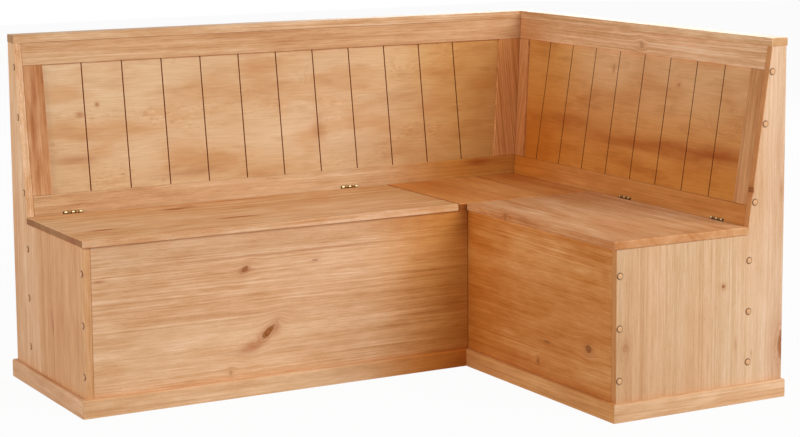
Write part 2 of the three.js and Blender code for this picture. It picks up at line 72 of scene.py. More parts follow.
class Wire:
    """An output of a shader node. Arithmetic on wires adds Math nodes."""

    def __init__(self, tree, socket=None):
        self.tree = tree
        self.socket = socket

    def node(self, kind, settings=None, inputs=None, output=0):
        """Adds a node: first its settings, then the values or links of its sockets."""
        node = self.tree.nodes.new(kind)
        for name, value in (settings or {}).items():
            if name == "stops":
                stops = node.color_ramp.elements
                while len(stops) < len(value):
                    stops.new(1.0)
                for stop, (position, shade) in zip(stops, value):
                    stop.position = position
                    stop.color = shade
            else:
                setattr(node, name, value)
        for key, value in (inputs or {}).items():
            if isinstance(value, Wire):
                self.tree.links.new(value.socket, node.inputs[key])
            else:
                node.inputs[key].default_value = value
        return Wire(self.tree, node.outputs[output] if node.outputs else None)

    def out(self, output):
        return Wire(self.tree, self.socket.node.outputs[output])

    def __add__(self, other):
        return maths("ADD", self, other)

    def __sub__(self, other):
        return maths("SUBTRACT", self, other)

    def __rsub__(self, other):
        return maths("SUBTRACT", other, self)

    def __mul__(self, other):
        return maths("MULTIPLY", self, other)

    def __truediv__(self, other):
        return maths("DIVIDE", self, other)

    def __pow__(self, power):
        return maths("POWER", self, power)

    __radd__ = __add__
    __rmul__ = __mul__

    def rise(self, low, high):
        """A soft step from 0 at low to 1 at high."""
        settings = {"interpolation_type": "SMOOTHSTEP"}
        return self.node("ShaderNodeMapRange", settings, {0: self, 1: low, 2: high})

    def band(self, foot, full, fading, gone):
        """Rises softly from 0 at foot to 1 at full, and falls from 1 at fading to 0 at gone."""
        return self.rise(foot, full) * (1 - self.rise(fading, gone))


def maths(operation, *values):
    wire = next(value for value in values if isinstance(value, Wire))
    return wire.node("ShaderNodeMath", {"operation": operation}, dict(enumerate(values)))


def mixed(share, first, second, way="MIX"):
    """Two colours mixed by a share. At least one of the three is a wire."""
    wire = next(value for value in (share, first, second) if isinstance(value, Wire))
    settings = {"data_type": "RGBA", "blend_type": way}
    return wire.node("ShaderNodeMix", settings, {0: share, 6: first, 7: second}, output=2)


def tone(red, green, blue):
    """A tone picked from 0 to 255, as screens show it, in the linear colour of a shader."""
    shares = [value / 255 for value in (red, green, blue)]
    linear = [s / 12.92 if s <= 0.04045 else ((s + 0.055) / 1.055) ** 2.4 for s in shares]
    return (*linear, 1.0)


SHIFT_ACROSS = 1.7


def cloud(place, repeats, shift, detail=2.0):
    """Noise around 0.5, with its own repeats per metre along, across and through a board."""
    start = (shift, SHIFT_ACROSS * shift, -shift)
    settings = {"operation": "MULTIPLY_ADD"}
    moved = place.node("ShaderNodeVectorMath", settings, {0: place, 1: repeats, 2: start})
    inputs = {"Vector": moved, "Scale": 1.0, "Detail": detail}
    return place.node("ShaderNodeTexNoise", inputs=inputs)


def layer(place, kind, seed):
    """A cloud whose kind is its repeats, the shift of its seed and its detail."""
    repeats, shift, detail = kind
    return cloud(place, repeats, seed + shift, detail)


def hum(length, shift, detail=1.0):
    """Noise around 0.5 that changes along one length only."""
    settings = {"noise_dimensions": "1D"}
    inputs = {"W": length + shift, "Scale": 1.0, "Detail": detail}
    return length.node("ShaderNodeTexNoise", settings, inputs)


def new_finish(name):
    material = bpy.data.materials.new(name)
    material.use_nodes = True
    material.node_tree.nodes.clear()
    return material, Wire(material.node_tree)


def board_place(start, node, ways, turn):
    """Where a point is from the middle of its board: along its grain, across its face and through
    its thickness, in metres. Then how squarely it faces along the grain and across it, and where
    the middle is along and across."""
    order = ["xyz".index(way) for way in ways]
    low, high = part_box(node)
    middle = Euler(turn).to_matrix() @ ((low + high) / 2)
    place = start.node("ShaderNodeTexCoord", output="Object")
    facing = place.out("Normal")
    if any(turn):
        place, facing = (
            start.node("ShaderNodeMapping", inputs={"Vector": vector, "Rotation": turn})
            for vector in (place, facing)
        )
    sides = start.node("ShaderNodeSeparateXYZ", inputs={0: place})
    facing = start.node("ShaderNodeSeparateXYZ", inputs={0: facing})
    along, across, through = (sides.out(i) - middle[i] for i in order)
    end_grain, rim = (maths("ABSOLUTE", facing.out(order[i])) for i in range(2))
    return along, across, through, end_grain, rim, [middle[i] for i in order[:2]]


def near(along, across, middle, spot):
    """The squared distance from a spot on a board, in the spot's half lengths and half widths. A
    sixth value turns the spot, towards the side that across counts up to."""
    spot_along, spot_across, half_length, half_width = spot[:4]
    u = along - (spot_along - middle[0])
    v = across - (spot_across - middle[1])
    if len(spot) == 6:
        cosine, sine = math.cos(spot[5]), math.sin(spot[5])
        u, v = u * cosine + v * sine, v * cosine - u * sine
    return (u / half_length) ** 2 + (v / half_width) ** 2


def paint_light_and_shade(wood, along, across, middle, painted_light_and_shade):
    """Paints light and shade into a wood's tone, slowly along or across its board, from where it is
    clear to where it is deep: painted shade where the bench shades itself, most of all towards the
    inner corner. A shade over 255 pales it instead: painted light."""
    for way, clear, deep, shade in painted_light_and_shade:
        side = ("along", "across").index(way)
        share = (along, across)[side].rise(clear - middle[side], deep - middle[side])
        wood = mixed(share, wood, shade, "MULTIPLY")
    return wood


# Resin stains knots and streaks, and also serves for the streaks that are painted shade
RESIN_AND_SHADE = tone(204, 152, 112)
END_GRAIN = tone(168, 142, 104)
KNOT_PALE = tone(190, 118, 64)
KNOT_DARK = tone(122, 68, 30)
# Wax with painted shade, for the lines round the plugs and their rims
PLUG_WAX_AND_SHADE = tone(98, 50, 18)

# How dark the wood is at shares of a year's growth, from pale early wood to dark late wood
LATEWOOD = [(0.0, 0.25), (0.06, 0.0), (0.5, 0.1), (0.8, 0.7), (0.92, 1.0), (1.0, 0.25)]

# Each layer of a board's figure: its repeats per metre along, across and through the board, the
# shift of its seed, and its detail
FIGURE = {
    "drift": ((0.8, 2.5, 2.5), 0, 1.0),
    "ripple": ((5, 40, 40), 5, 3.0),
    "fibre": ((24, 620, 620), 9, 2.0),
    "strand": ((2.2, 190, 190), 13, 4.0),
    "band": ((0.7, 45, 45), 17, 2.0),
    "patch": ((2.2, 9, 9), 21, 2.0),
    "broad": ((0.9, 3.2, 3.2), 27, 1.0),
    "clouds": ((9, 34, 34), 29, 3.0),
    "lively": ((0.8, 14, 14), 31, 2.0),
    "rosy": ((1.1, 6, 6), 33, 1.0),
    "ducts": ((110, 900, 900), 37, 1.0),
    "lobes": ((95, 95, 95), 41, 3.0),
}

# How much each of them, a stave and a glue line change the wood's tone
FIBRE_SHADE = 0.45
STRAND_SHADE = 0.6
BAND_SHADE = 0.25
PATCH_SHADE = 0.8
DUCT_SHADE = 0.1
STAVE_SHADE = 0.1
GLUE_SHADE = 0.16
GLUE_WIDTH = 0.0008

# How far the rings sway in metres, and how unevenly they grow: by how many rings, and how often per
# metre
RING_RIPPLE = 0.005
RING_UNEVENNESS = 2.5
RING_CHANGES = 40

# How uneven the widths of staves are, and how squarely a face stands to the grain or to the width
# of its board where it counts as end grain or as an edge
STAVE_UNEVENNESS = 0.2
END_FACES = (0.75, 0.9)
EDGE_FACES = (0.5, 0.8)

# How quickly the pull of a knot and the resin round it fade with distance, and how strong they are.
# The core, the bark and the flare of fibres round them are steps and bands of the distance.
KNOT_PULL_FADE = 0.12
KNOT_PULL = 0.75
KNOT_STAIN_FADE = 0.16
KNOT_STAIN = 0.45
KNOT_LOBES = 1.1
KNOT_RINGS = 9
KNOT_CORE = (0.85, 1.2)
KNOT_BARK = (0.75, 1.0, 1.0, 1.3)
KNOT_FLARE = (1.5, 1.75, 1.8, 2.2)
STREAK_FADE = 1.3

# The dark line round a plug, wax in the gap and painted shade, as a band of the squared distance
# in radii
PLUG_WAX_AND_SHADE_LINE = (0.85, 1.0, 1.3, 1.9)

PINE_GLOSS = 0.12


def growth_rings(start, rings):
    """How much late wood there is where so many rings are counted."""
    stops = [(position, (level, level, level, 1)) for position, level in LATEWOOD]
    return start.node("ShaderNodeValToRGB", {"stops": stops}, {0: maths("FRACT", rings)})


def tinted(start, wood, shade, depth):
    """Scales a wood's tone by a shade. Green and blue change faster than red, each by its depth."""
    inputs = {0: shade, 1: shade ** depth[0], 2: shade ** depth[1]}
    tint = start.node("ShaderNodeCombineColor", inputs=inputs)
    return mixed(1.0, wood, tint, "MULTIPLY")


def bumps(start, height, strength, depth):
    """The fine relief that a height leaves in a finish, so many metres deep."""
    inputs = {"Strength": strength, "Distance": depth, "Height": height}
    return start.node("ShaderNodeBump", inputs=inputs)


def surface(start, sockets):
    """Ends a finish with a surface that has these values or links in its sockets."""
    shader = start.node("ShaderNodeBsdfPrincipled", inputs=sockets)
    start.node("ShaderNodeOutputMaterial", inputs={"Surface": shader})


def pine(
    node,
    ways,
    pale,
    dark,
    blush,
    seed,
    stave=None,
    ring=0.0065,
    heart=(0.0, 0.03),
    scatter=0.1,
    lean=0.02,
    wander=0.05,
    figure=0.6,
    turn=(0.0, 0.0, 0.0),
    soak=0.5,
    mottle=0.4,
    grain=1.0,
    uneven=0.5,
    depth=(1.75, 2.7),
    painted_edge_shade=None,
    knots=(),
    streaks=(),
    painted_light_and_shade=(),
    plugs=(),
):
    """Gives a CAD board its waxed pine, with growth rings round a heart outside the board.

    ways names the axes along the grain, across the face and through the thickness. A board that is
    glued up has staves about as wide as stave, and their hearts scatter. heart is how far the heart
    lies aside of the middle and behind it, and lean how fast it nears along the grain. soak is how
    much darker the end grain is, mottle how cloudy the tone is, grain how strong its lines are and
    uneven how far it changes over the board. depth is how much faster green and blue sink than red
    where the wood darkens. The tone for the narrow edges is painted shade that darkens them. A
    knot, or a streak, is its place along and across, half its length and width, its darkness, and
    how far it is turned. Most streaks are pitch, and a few are painted shade. The slow changes of
    tone are
    painted light and shade: see the function that paints them. plugs are the places of the plugs,
    each of which has a dark line round it: the waxed gap, widened with painted shade.
    """
    material, start = new_finish(f"{node}_pine")
    along, across, through, end_grain, rim, middle = board_place(start, node, ways, turn)
    straight = start.node("ShaderNodeCombineXYZ", inputs={0: along, 1: across, 2: through})

    # The grain flows round the knots
    bent = across
    knot_reach = [near(along, across, middle, knot) for knot in knots]
    for reach, knot in zip(knot_reach, knots):
        pull = maths("EXPONENT", reach * -KNOT_PULL_FADE)
        bent = bent - (across - (knot[1] - middle[1])) * pull * KNOT_PULL
    place = start.node("ShaderNodeCombineXYZ", inputs={0: along, 1: bent, 2: through})

    # Staves have uneven widths, and each has its own heart, tone and lean
    if stave:
        count = across / stave + seed
        count = count + maths("SINE", count * 2.3) * STAVE_UNEVENNESS
        number = maths("FLOOR", count)
        edge = count - number
        settings = {"noise_dimensions": "1D"}
        inputs = {"W": number + seed * 3.1}
        chance = start.node("ShaderNodeTexWhiteNoise", settings, inputs, output="Color")
        chance = start.node("ShaderNodeSeparateColor", inputs={0: chance})
        side_chance, depth_chance, tone_chance = (chance.out(i) for i in range(3))
        aside = (edge - 0.5) * stave + (bent - across) + (side_chance - 0.5) * (2 * scatter)
        behind = through + depth_chance * scatter + heart[1]
        nearing = along * ((tone_chance - 0.5) * (2 * lean))
        glue = 1 - (0.5 - maths("ABSOLUTE", edge - 0.5)).rise(0.0, GLUE_WIDTH / stave)
    else:
        tone_chance = 0.5
        number = seed
        aside = bent
        behind = through + heart[1]
        nearing = along * lean
        glue = 0.0

    # Growth rings, of uneven width and strength
    drift = layer(place, FIGURE["drift"], seed) - 0.5
    ripple = layer(place, FIGURE["ripple"], seed) - 0.5
    aside = aside + heart[0] + drift * wander
    radius = (aside * aside + behind * behind) ** 0.5 + nearing + ripple * RING_RIPPLE
    rings = radius / ring + hum(radius * RING_CHANGES, seed) * RING_UNEVENNESS
    strength = hum(rings * 0.37, number, detail=2.0).rise(0.3, 0.7) * 0.8 + 0.2
    late = growth_rings(start, rings) * strength

    # Fibres, strands, resin ducts and slow changes of tone
    fibre, strand, band = (
        layer(place, FIGURE[name], seed) - 0.5 for name in ("fibre", "strand", "band")
    )
    patch, broad, clouds = (
        layer(straight, FIGURE[name], seed) - 0.5 for name in ("patch", "broad", "clouds")
    )
    ducts = layer(place, FIGURE["ducts"], seed).rise(0.6, 0.74)
    lively = layer(straight, FIGURE["lively"], seed).rise(0.3, 0.7) * 1.2 + 0.4
    rosy = layer(straight, FIGURE["rosy"], seed).rise(0.38, 0.66)

    wood = mixed(late * lively * figure, pale, dark)
    wood = mixed(rosy * 0.6 + tone_chance * 0.25, wood, blush)
    sawn = end_grain.rise(*END_FACES)
    lines = fibre * (FIBRE_SHADE * grain) + strand * lively * (STRAND_SHADE * grain)
    lines = lines + band * (BAND_SHADE * grain)
    shade = 1 + lines * (1 - sawn * 0.7) + (patch * PATCH_SHADE + broad) * uneven
    shade = shade - ducts * DUCT_SHADE + clouds * mottle + (tone_chance - 0.5) * STAVE_SHADE
    wood = tinted(start, wood, shade * (1 - glue * GLUE_SHADE), depth)
    wood = mixed(sawn * soak, wood, END_GRAIN, "MULTIPLY")

    # Streaks of resin, and a few of painted shade where the bench shades itself
    for streak in streaks:
        reach = near(along, bent + ripple * streak[3] * 1.5, middle, streak)
        streak_darkening = maths("EXPONENT", reach * -STREAK_FADE) * (0.7 + strand)
        wood = mixed(streak_darkening * streak[4], wood, RESIN_AND_SHADE, "MULTIPLY")
    # Painted light and shade: slow changes of tone along or across the board
    wood = paint_light_and_shade(wood, along, across, middle, painted_light_and_shade)
    # Painted shade on the narrow edges of the board
    if painted_edge_shade:
        wood = mixed(rim.rise(*EDGE_FACES), wood, painted_edge_shade, "MULTIPLY")
    lobes = layer(straight, FIGURE["lobes"], seed) - 0.5 if knots else None
    for reach, knot in zip(knot_reach, knots):
        darkness = knot[4]
        out = reach**0.5 + lobes * KNOT_LOBES
        stain = maths("EXPONENT", reach * -KNOT_STAIN_FADE) * (KNOT_STAIN * darkness)
        wood = mixed(stain, wood, RESIN_AND_SHADE, "MULTIPLY")
        flare = out.band(*KNOT_FLARE) * (0.5 + lobes * 3)
        wood = mixed(flare * (KNOT_STAIN * darkness), wood, KNOT_PALE)
        core = (1 - out.rise(*KNOT_CORE)) * darkness
        rings = maths("SINE", out * KNOT_RINGS) * 0.35 + 0.5
        wood = mixed(core, wood, mixed(rings, KNOT_DARK, KNOT_PALE))
        bark = out.band(*KNOT_BARK) * (0.6 + lobes * 2)
        wood = mixed(bark * (0.7 * darkness), wood, KNOT_DARK)
    # A dark line round each plug: wax in the gap, widened with painted shade
    if plugs:
        spots = [(*plug, plug_radius, plug_radius) for plug in plugs]
        closest = near(along, across, middle, spots[0])
        for spot in spots[1:]:
            closest = maths("MINIMUM", closest, near(along, across, middle, spot))
        wood = mixed(closest.band(*PLUG_WAX_AND_SHADE_LINE) * 0.75, wood, PLUG_WAX_AND_SHADE)

    height = late * 0.4 + fibre + strand * 0.6
    sockets = {
        "Base Color": wood,
        "Roughness": 0.52 - late * 0.08 + patch * 0.16,
        "Specular IOR Level": PINE_GLOSS,
        "Normal": bumps(start, height, strength=0.6, depth=0.00006),
    }
    surface(start, sockets)
    dress(node, material)


def dress(node, material):
    """Puts a finish on a CAD node and shades its flat faces flat and its round ones round."""
    piece = frame["nodes"][node]
    for slot in piece.material_slots:
        slot.material = material
    smooth = piece.modifiers.new("shading", "NODES")
    smooth.node_group = shading


MERGE_DISTANCE = 0.00001
SHARP_ANGLE = math.radians(35)


def shading_group():
    """Joins a CAD node's loose triangles and keeps only the edges sharp that turn far."""
    group = bpy.data.node_groups.new("board_shading", "GeometryNodeTree")
    for way in ("INPUT", "OUTPUT"):
        group.interface.new_socket("Geometry", in_out=way, socket_type="NodeSocketGeometry")
    start = Wire(group)
    shade = "GeometryNodeSetShadeSmooth"
    sharp = {"mode": "SHARPNESS"}
    mesh = start.node("NodeGroupInput")
    mesh = start.node("GeometryNodeMergeByDistance", inputs={0: mesh, "Distance": MERGE_DISTANCE})
    mesh = start.node("GeometryNodeSetMeshNormal", sharp, {0: mesh, "Remove Custom": True})
    mesh = start.node(shade, {"domain": "FACE"}, {0: mesh, "Shade Smooth": True})
    turned = start.node("GeometryNodeInputMeshEdgeAngle")
    turned = maths("LESS_THAN", turned, SHARP_ANGLE)
    mesh = start.node(shade, {"domain": "EDGE"}, {0: mesh, "Shade Smooth": turned})
    start.node("NodeGroupOutput", inputs={0: mesh})
    return group


shading = shading_group()

# Where the boards stand that the screws below the plugs hold, in metres
plug_radius = 0.00706
long_length = 1.548
short_length = 1.162
rear_of_short_arm = 0.7795
rear_of_long_arm = 0.5865
rake = 0.14954
seat_height = 0.428
back_seat_depth = 0.1086
half_back_thickness = 0.01011
front_row_depth = 0.4825
rear_row_depth = 0.10454
low_plug_heights = (0.0961, 0.2209, 0.3460)
high_plug_heights = (0.4870, 0.6746, 0.7996)


def back_face_depth(height):
    """How far the raked face of a back stands in front of the plane behind its arm."""
    return back_seat_depth + rake * (seat_height - height)


plug_rows = []
for depth in (front_row_depth, rear_row_depth):
    plug_rows += [(height, depth) for height in low_plug_heights]
for height in high_plug_heights:
    plug_rows.append((height, back_face_depth(height) - half_back_thickness))

pine(
    "left_end_panel",
    "zyx",
    tone(234, 187, 142),
    tone(196, 136, 87),
    tone(225, 169, 122),
    seed=3.4,
    stave=0.125,
    ring=0.0052,
    heart=(0.03, 0.05),
    lean=0.012,
    figure=0.45,
    mottle=0.25,
    grain=0.85,
    uneven=0.35,
    depth=(2.0, 3.2),
    knots=[(0.184, 0.3125, 0.014, 0.004, 0.4)],
    streaks=[(0.2, 0.318, 0.035, 0.006, 0.6)],
    # Painted shade: darker towards the front
    painted_light_and_shade=[("across", 0.47, 0.12, tone(249, 243, 232))],
    plugs=[(height, rear_of_long_arm - depth) for height, depth in plug_rows],
)
pine(
    "right_end_panel",
    "zxy",
    tone(223, 187, 149),
    tone(188, 134, 86),
    tone(217, 168, 126),
    seed=7.1,
    stave=0.13,
    ring=0.0052,
    heart=(0.05, 0.05),
    lean=0.012,
    figure=0.28,
    mottle=0.15,
    grain=0.65,
    uneven=0.25,
    # Painted shade on the narrow edges, and painted light: paler towards the rear
    painted_edge_shade=tone(252, 218, 178),
    painted_light_and_shade=[("across", 0.68, 0.77, tone(255, 262, 274))],
    knots=[
        (0.290, 0.599, 0.004, 0.0035, 1.0),
        (0.173, 0.314, 0.009, 0.007, 0.3),
        (0.1265, 0.780, 0.034, 0.012, 0.8),
        (0.600, 0.790, 0.03, 0.012, 0.35),
        (0.5165, 0.6845, 0.006, 0.0018, 1.0),
    ],
    streaks=[
        (0.143, 0.6375, 0.022, 0.0035, 0.7),
        (0.117, 0.685, 0.01, 0.003, 0.6),
        (0.51, 0.774, 0.03, 0.008, 0.5),
    ],
    plugs=[(height, rear_of_short_arm - depth) for height, depth in plug_rows],
)


# Plugs
# Domed buttons of side-grain pine, glued into the counterbores over the screws of the boards. They
# are turned round and smooth. A thin dark line round each of them is wax in the gap, widened with
# painted shade, and their steep rims are darkened the same way.

plug_steps = 40
plug_turn = 1.3
plug_gloss = 0.15
plug_profile = [
    (plug_radius, -0.003),
    (plug_radius, 0.0009),
    (0.0069, 0.00125),
    (0.0064, 0.0016),
    (0.0055, 0.00196),
    (0.0042, 0.00228),
    (0.0024, 0.00252),
    (0.0, 0.0026),
]


def spun(name, profile, steps):
    """A closed mesh of a profile of (radius, height) spun once round the height axis."""
    shape = bmesh.new()
    corners = [shape.verts.new((radius, 0.0, height)) for radius, height in profile]
    sides = [shape.edges.new(pair) for pair in zip(corners, corners[1:])]
    bmesh.ops.spin(
        shape,
        geom=corners + sides,
        cent=(0, 0, 0),
        axis=(0, 0, 1),
        angle=math.tau,
        steps=steps,
        use_merge=True,
    )
    bmesh.ops.remove_doubles(shape, verts=shape.verts, dist=0.000001)
    bmesh.ops.recalc_face_normals(shape, faces=shape.faces)
    for face in shape.faces:
        face.smooth = True
    mesh = bpy.data.meshes.new(name)
    shape.to_mesh(mesh)
    shape.free()
    return mesh


def set_out(name, mesh, places, material, body):
    """One piece that holds the same shape in several places, on one body of the bench."""
    whole = bmesh.new()
    for place in places:
        before = len(whole.verts)
        whole.from_mesh(mesh)
        whole.verts.ensure_lookup_table()
        bmesh.ops.transform(whole, matrix=place, verts=whole.verts[before:])
    gathered = bpy.data.meshes.new(name)
    whole.to_mesh(gathered)
    whole.free()
    gathered.materials.append(material)
    piece = bpy.data.objects.new(name, gathered)
    bpy.context.scene.collection.objects.link(piece)
    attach(piece, body)
    return piece


def pointed(spot, outward, turn=0.0):
    """Where a shape made upright at the origin goes, so that its top points outward at a spot."""
    aim = Vector(outward).to_track_quat("Z", "Y").to_matrix().to_4x4()
    return Matrix.Translation(spot) @ aim @ Matrix.Rotation(turn, 4, "Z")


def plug_pine(side, way):
    """way is the axis that the plugs of this side point along. Wax and painted shade darken their
    steep rims.
    """
    material, start = new_finish(f"{side}_plug_pine")
    place = start.node("ShaderNodeTexCoord", output="Object")
    facing = start.node("ShaderNodeSeparateXYZ", inputs={0: place.out("Normal")}).out(way)
    rim = 1 - maths("ABSOLUTE", facing).rise(0.72, 0.95)
    grain = cloud(place, (260, 260, 420), 2.0, detail=3.0)
    rings = maths("SINE", grain * 40)
    wood = mixed(rings * 0.2 + 0.25, tone(230, 183, 138), tone(202, 146, 97))
    wood = mixed(cloud(place, (9, 9, 9), 4.0).rise(0.4, 0.6) * 0.4, wood, tone(218, 164, 116))
    sockets = {
        # Wax and painted shade on the steep rims
        "Base Color": mixed(rim * 0.75, wood, PLUG_WAX_AND_SHADE),
        "Roughness": 0.42 + grain * 0.1,
        "Specular IOR Level": plug_gloss,
        "Normal": bumps(start, grain, strength=0.5, depth=0.0001),
    }
    surface(start, sockets)
    return material


plug_mesh = spun("plug", plug_profile, plug_steps)
for side, way, outward in (("left", 0, (-1, 0, 0)), ("right", 1, (0, -1, 0))):
    places = []
    for index, (height, depth) in enumerate(plug_rows):
        if side == "left":
            spot = (rear_of_short_arm - long_length, rear_of_long_arm - depth, height)
        else:
            spot = (rear_of_short_arm - depth, rear_of_long_arm - short_length, height)
        places.append(pointed(spot, outward, turn=index * plug_turn))
    set_out(f"{side}_end_plugs", plug_mesh, places, plug_pine(side, way), "carcass")


# Chest fronts
# Wide boards glued up from long flat-sawn staves, so the growth rings run out in long tongues.
# Knots and streaks of resin were left in. The inner corner has painted shade: a deeper, more
# orange tone.

pine(
    "long_front_board",
    "xzy",
    tone(237, 193, 151),
    tone(187, 125, 73),
    tone(223, 169, 123),
    seed=1.25,
    stave=0.17,
    ring=0.0082,
    heart=(0.0, 0.02),
    scatter=0.07,
    lean=0.03,
    wander=0.09,
    figure=0.42,
    mottle=0.35,
    grain=0.75,
    uneven=0.2,
    depth=(1.9, 3.0),
    knots=[
        (-0.2897, 0.1527, 0.019, 0.0075, 1.0, 0.75),
        (-0.3493, 0.3174, 0.009, 0.0055, 0.8, 0.6),
        (-0.392, 0.0617, 0.004, 0.006, 0.35),
        (-0.157, 0.3207, 0.008, 0.0022, 0.5),
    ],
    streaks=[
        (-0.335, 0.126, 0.045, 0.013, 0.9, 0.5),
        (-0.266, 0.158, 0.012, 0.012, 0.5),
        (-0.346, 0.3165, 0.022, 0.004, 0.7),
        (-0.45, 0.306, 0.04, 0.0025, 0.35),
        (-0.7317, 0.3248, 0.022, 0.004, 1.0),
        (0.24, 0.169, 0.03, 0.012, 0.4),
        # Painted shade: a dark line in the inner corner, and darker patches at the top of the
        # corner
        (0.2872, 0.2, 0.0016, 0.5, 1.3),
        (0.26, 0.40, 0.14, 0.07, 0.45),
        (0.175, 0.31, 0.09, 0.03, 0.3),
        (-0.1, 0.349, 0.5, 0.0035, 0.6),
        (0.18, 0.262, 0.1, 0.003, 0.7),
        (0.16, 0.247, 0.12, 0.002, 0.6),
        (0.15, 0.152, 0.13, 0.0025, 0.7),
    ],
    # Painted shade: deeper towards the inner corner and the floor, and in a band under the lid
    painted_light_and_shade=[
        ("along", -0.06, 0.27, tone(251, 226, 155)),
        ("across", 0.3, 0.06, tone(252, 246, 238)),
        ("across", 0.32, 0.38, tone(249, 248, 248)),
    ],
)
# Its orange tones are partly the board's own and partly painted shade of the inner corner
pine(
    "short_front_board",
    "yzx",
    tone(231, 165, 102),
    tone(184, 110, 48),
    tone(215, 142, 77),
    seed=4.6,
    stave=0.2,
    ring=0.007,
    heart=(0.02, 0.03),
    scatter=0.08,
    lean=0.025,
    wander=0.08,
    figure=0.24,
    mottle=0.4,
    grain=0.75,
    uneven=0.3,
    depth=(2.2, 4.2),
    knots=[
        (-0.4617, 0.1519, 0.0105, 0.0095, 1.0),
        (-0.2412, 0.0783, 0.004, 0.005, 0.9),
        (-0.2816, 0.1333, 0.012, 0.003, 0.7),
    ],
    streaks=[(-0.5284, 0.3424, 0.02, 0.03, 0.35)],
    # Painted shade: deeper towards the inner corner and towards the floor
    painted_light_and_shade=[
        ("along", -0.28, 0.085, tone(234, 210, 160)),
        ("across", 0.37, 0.1, tone(250, 246, 238)),
    ],
)


# Plinths
# Narrow boards pinned round the foot of the chests and mitred where two meet. Each is one clear
# piece, and its upper edge is eased with a few strokes of the plane.

plinth_tones = {
    "long_front_plinth": (tone(229, 184, 139), tone(194, 136, 85), tone(220, 165, 116)),
    "right_end_plinth": (tone(234, 194, 154), tone(200, 146, 100), tone(226, 176, 132)),
    "left_end_plinth": (tone(239, 196, 155), tone(204, 147, 100), tone(230, 177, 132)),
    "short_front_plinth": (tone(224, 161, 98), tone(190, 117, 56), tone(212, 143, 80)),
}
# Painted shade: the long plinth deepens towards the inner corner
painted_corner_shade = [("along", -0.1, 0.2, tone(255, 207, 128))]
for node, ways, seed, painted_light_and_shade in (
    ("long_front_plinth", "xzy", 11.3, painted_corner_shade),
    ("right_end_plinth", "xzy", 15.9, []),
    ("left_end_plinth", "yzx", 13.2, []),
    ("short_front_plinth", "yzx", 17.7, []),
):
    pine(
        node,
        ways,
        *plinth_tones[node],
        seed=seed,
        ring=0.006,
        heart=(0.02, 0.03),
        lean=0.012,
        figure=0.4,
        grain=0.6,
        painted_light_and_shade=painted_light_and_shade,
    )


# Seat
# Two lids and the fixed corner seat between them. The long lid's grain runs along its arm, and the
# grain of the corner seat and the short lid runs along the other one.

pine(
    "long_lid",
    "xyz",
    tone(249, 199, 151),
    tone(204, 134, 80),
    tone(237, 176, 125),
    seed=21.4,
    stave=0.14,
    ring=0.007,
    heart=(0.02, 0.03),
    lean=0.02,
    soak=0.95,
    grain=0.8,
    uneven=0.25,
    depth=(2.2, 3.6),
    # Painted shade on the narrow edges
    painted_edge_shade=tone(243, 247, 255),
    streaks=[
        (-0.674, 0.2027, 0.035, 0.008, 2.2),
        (-0.404, 0.400, 0.03, 0.012, 2.2),
        (-0.36, 0.41, 0.03, 0.02, 1.1),
        (-0.316, 0.2025, 0.06, 0.009, 2.0),
        (-0.21, 0.449, 0.2, 0.006, 1.2),
    ],
    # Painted shade: darker towards the back and towards the inner corner
    painted_light_and_shade=[
        ("across", 0.12, 0.44, tone(237, 229, 211)),
        ("along", 0.05, 0.28, tone(242, 234, 216)),
    ],
)
pine(
    "corner_seat",
    "yxz",
    tone(230, 161, 94),
    tone(186, 106, 44),
    tone(218, 139, 72),
    seed=24.8,
    stave=0.15,
    ring=0.007,
    heart=(0.02, 0.03),
    lean=0.02,
    soak=1.0,
    grain=0.8,
    depth=(2.0, 3.4),
    # Painted shade on the narrow edges and towards the back
    painted_edge_shade=tone(176, 132, 108),
    painted_light_and_shade=[("along", 0.18, 0.46, tone(241, 228, 200))],
)
pine(
    "short_lid",
    "yxz",
    tone(231, 174, 124),
    tone(190, 120, 66),
    tone(219, 154, 101),
    seed=28.3,
    stave=0.15,
    ring=0.007,
    heart=(0.02, 0.03),
    lean=0.02,
    soak=0.2,
    grain=0.9,
    depth=(2.2, 3.6),
    knots=[(-0.1004, 0.277, 0.007, 0.005, 0.35)],
    streaks=[(-0.19, 0.281, 0.03, 0.004, 0.6)],
    # Painted shade: darker towards the back
    painted_light_and_shade=[("across", 0.36, 0.63, tone(246, 238, 226))],
)


# Backs
# Each raked back is a frame of rails and stiles round a plywood panel, scored with upright grooves
# to look boarded. The grooves are dark with wax and painted shade. The frame is pine of a deeper
# tone.

# The short back's top rail is paler, painted light, and its bottom rail deeper orange, painted
# shade
frame_tones = {
    "long_back_top_rail": (tone(218, 173, 128), tone(186, 128, 78), tone(210, 158, 111)),
    "long_back_bottom_rail": (tone(222, 185, 143), tone(186, 129, 80), tone(212, 163, 117)),
    "long_back_end_stile": (tone(214, 158, 110), tone(164, 100, 54), tone(194, 130, 82)),
    "long_back_corner_stile": (tone(220, 156, 96), tone(176, 104, 44), tone(206, 138, 78)),
    "short_back_top_rail": (tone(248, 202, 156), tone(218, 154, 98), tone(240, 180, 130)),
    "short_back_bottom_rail": (tone(211, 142, 78), tone(176, 102, 42), tone(199, 124, 60)),
    "short_back_end_stile": (tone(218, 158, 106), tone(184, 116, 64), tone(208, 141, 87)),
    "short_back_corner_stile": (tone(226, 162, 106), tone(180, 108, 50), tone(210, 142, 84)),
}
lean_angle = math.atan(rake)
long_turn = (lean_angle, 0.0, 0.0)
short_turn = (0.0, -lean_angle, 0.0)


def up_the_back(height, rear):
    """How far up the slope of a back a point of its face is, in the place that its finish reads."""
    depth = rear - back_face_depth(height)
    return depth * math.sin(lean_angle) + height * math.cos(lean_angle)


def up_long(height):
    return up_the_back(height, rear_of_long_arm)


def up_short(height):
    return up_the_back(height, rear_of_short_arm)


# The dark part of a groove, wax with painted shade, is a band of the depth below the face of its
# panel
panel_thickness = 0.009
groove_band = (0.0003, 0.001, 0.004, 0.006)
contour_spacing = 0.0125


